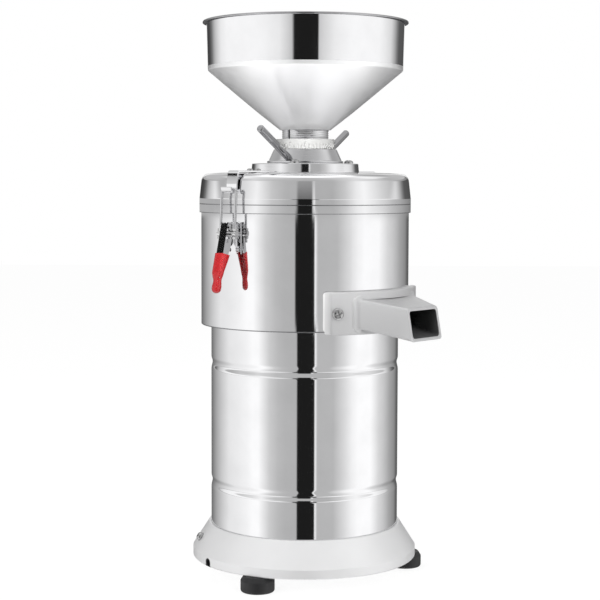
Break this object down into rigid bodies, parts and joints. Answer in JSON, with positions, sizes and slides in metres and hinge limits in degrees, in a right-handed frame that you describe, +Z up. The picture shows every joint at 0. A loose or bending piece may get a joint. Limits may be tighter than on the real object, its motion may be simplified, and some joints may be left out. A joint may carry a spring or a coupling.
{
  "type": "nut butter grinder",
  "caption": "Upright nut butter grinder: feed hopper over a round steel mill with a gap adjuster, side spout, toggle latches and a motor base on rubber feet.",
  "frame": {"origin": "in the plane that the feet stand on, at the middle of the footprint's box; the machine's vertical axis stands at x -10.6 mm, y 0.7 mm", "axes": "+Z up along the motor shaft, -Y towards the front of the machine, +X to the viewer's right"},
  "size_m": [0.2659, 0.2577, 0.6],
  "materials": {
    "cast_white": "pale satin casting",
    "cast_grey": "as-cast and machined",
    "polished_steel": "polished stainless steel",
    "plated_steel": "bright plated",
    "machined_steel": "machined",
    "copper_windings": "varnished copper wire",
    "grinding_stone": "dressed abrasive stone",
    "black_rubber": "matt black rubber",
    "white_rubber": "white rubber",
    "black_plastic": "moulded black plastic",
    "scale_plastic": "pale ring with a graduated scale",
    "red_vinyl": "dipped red vinyl",
    "red_plastic": "moulded red plastic",
    "white_plastic": "moulded white plastic"
  },
  "bodies": {
    "frame": {"base_casting": "cast_white", "rubber_feet": "black_rubber", "foot_screws": "plated_steel", "ground_screw": "plated_steel", "cord_grommet": "black_rubber", "bottom_plate": "plated_steel", "run_capacitor": "black_plastic", "switch_frame": "black_plastic", "breaker_body": "black_plastic", "motor_barrel": "polished_steel", "lower_end_shield": "cast_grey", "upper_end_shield": "cast_grey", "tie_bolts": "plated_steel", "stator_core": "machined_steel", "stator_windings": "copper_windings", "bearing_outer_rings": "machined_steel", "chamber_shell": "polished_steel", "grinding_bowl": "cast_grey", "shaft_seal": "black_rubber", "spout": "cast_white", "spout_gasket": "white_rubber", "spout_screws": "plated_steel", "lid_cover": "polished_steel", "lid_plate": "cast_grey", "lid_seal": "white_rubber", "top_flange": "polished_steel", "flange_screws": "plated_steel", "nut_stop_screws": "plated_steel", "guide_key": "machined_steel", "latch_hooks": "plated_steel", "hook_screws": "plated_steel", "latch_bases": "plated_steel", "latch_rivets": "plated_steel", "latch_pins": "plated_steel"},
    "rotor": {"motor_shaft": "machined_steel", "rotor_core": "machined_steel", "cooling_fan": "black_plastic", "bearing_inner_rings": "machined_steel", "bearing_balls": "machined_steel", "stone_holder": "cast_grey", "lower_stone": "grinding_stone", "feed_screw": "machined_steel", "drive_key": "machined_steel"},
    "adjuster": {"adjusting_nut": "polished_steel", "scale_ring": "scale_plastic", "adjuster_handles": "polished_steel"},
    "upper_stone_carrier": {"stone_carrier": "polished_steel", "upper_stone": "grinding_stone"},
    "feed_hopper": {"hopper_cone": "polished_steel", "hopper_drum": "polished_steel"},
    "front_latch_lever": {"front_lever": "plated_steel", "front_grip": "red_vinyl"},
    "front_latch_bail": {"front_bail": "polished_steel", "front_trunnion": "plated_steel"},
    "rear_latch_lever": {"rear_lever": "plated_steel", "rear_grip": "red_vinyl"},
    "rear_latch_bail": {"rear_bail": "polished_steel", "rear_trunnion": "plated_steel"},
    "power_rocker": {"switch_rocker": "red_plastic"},
    "overload_button": {"reset_button": "white_plastic"}
  },
  "joints": [
    {"name": "rotor_spin", "type": "hinge", "parent": "frame", "child": "rotor", "pos_m": [-0.0106, 0.0007, 0.3], "axis": [0, 0, 1], "continuous": true},
    {"name": "adjuster_turn", "type": "hinge", "parent": "frame", "child": "adjuster", "pos_m": [-0.0106, 0.0007, 0.45], "axis": [0, 0, 1], "range_deg": [-270, 90]},
    {"name": "stone_lift", "type": "slide", "parent": "frame", "child": "upper_stone_carrier", "axis": [0, 0, 1], "range_m": [-0.0005, 0.0015]},
    {"name": "hopper_lift", "type": "slide", "parent": "upper_stone_carrier", "child": "feed_hopper", "axis": [0, 0, 1], "range_m": [0, 0.045]},
    {"name": "front_lever_turn", "type": "hinge", "parent": "frame", "child": "front_latch_lever", "pos_m": [-0.09113, -0.09359, 0.38], "axis": [-0.7604, 0.6494, 0], "range_deg": [0, 100]},
    {"name": "front_bail_turn", "type": "hinge", "parent": "front_latch_lever", "child": "front_latch_bail", "pos_m": [-0.09087, -0.09329, 0.373], "axis": [-0.7604, 0.6494, 0], "range_deg": [-90, 0]},
    {"name": "rear_lever_turn", "type": "hinge", "parent": "frame", "child": "rear_latch_lever", "pos_m": [0.06993, 0.09499, 0.38], "axis": [0.7604, -0.6494, 0], "range_deg": [0, 100]},
    {"name": "rear_bail_turn", "type": "hinge", "parent": "rear_latch_lever", "child": "rear_latch_bail", "pos_m": [0.06967, 0.09469, 0.373], "axis": [0.7604, -0.6494, 0], "range_deg": [-90, 0]},
    {"name": "power_rocker_tilt", "type": "hinge", "parent": "frame", "child": "power_rocker", "pos_m": [0.0044, 0.1186, 0.033], "axis": [1, 0, 0], "range_deg": [0, 18]},
    {"name": "overload_button_press", "type": "slide", "parent": "frame", "child": "overload_button", "axis": [0, -1, 0], "range_m": [0, 0.0025], "stiffness_N_per_m": 400}
  ],
  "couplings": [
    {"joint": "stone_lift", "follows": "adjuster_turn", "m_per_rad": -0.00031831},
    {"joint": "front_bail_turn", "follows": "front_lever_turn", "ratio": -0.9},
    {"joint": "rear_bail_turn", "follows": "rear_lever_turn", "ratio": -0.9}
  ]
}
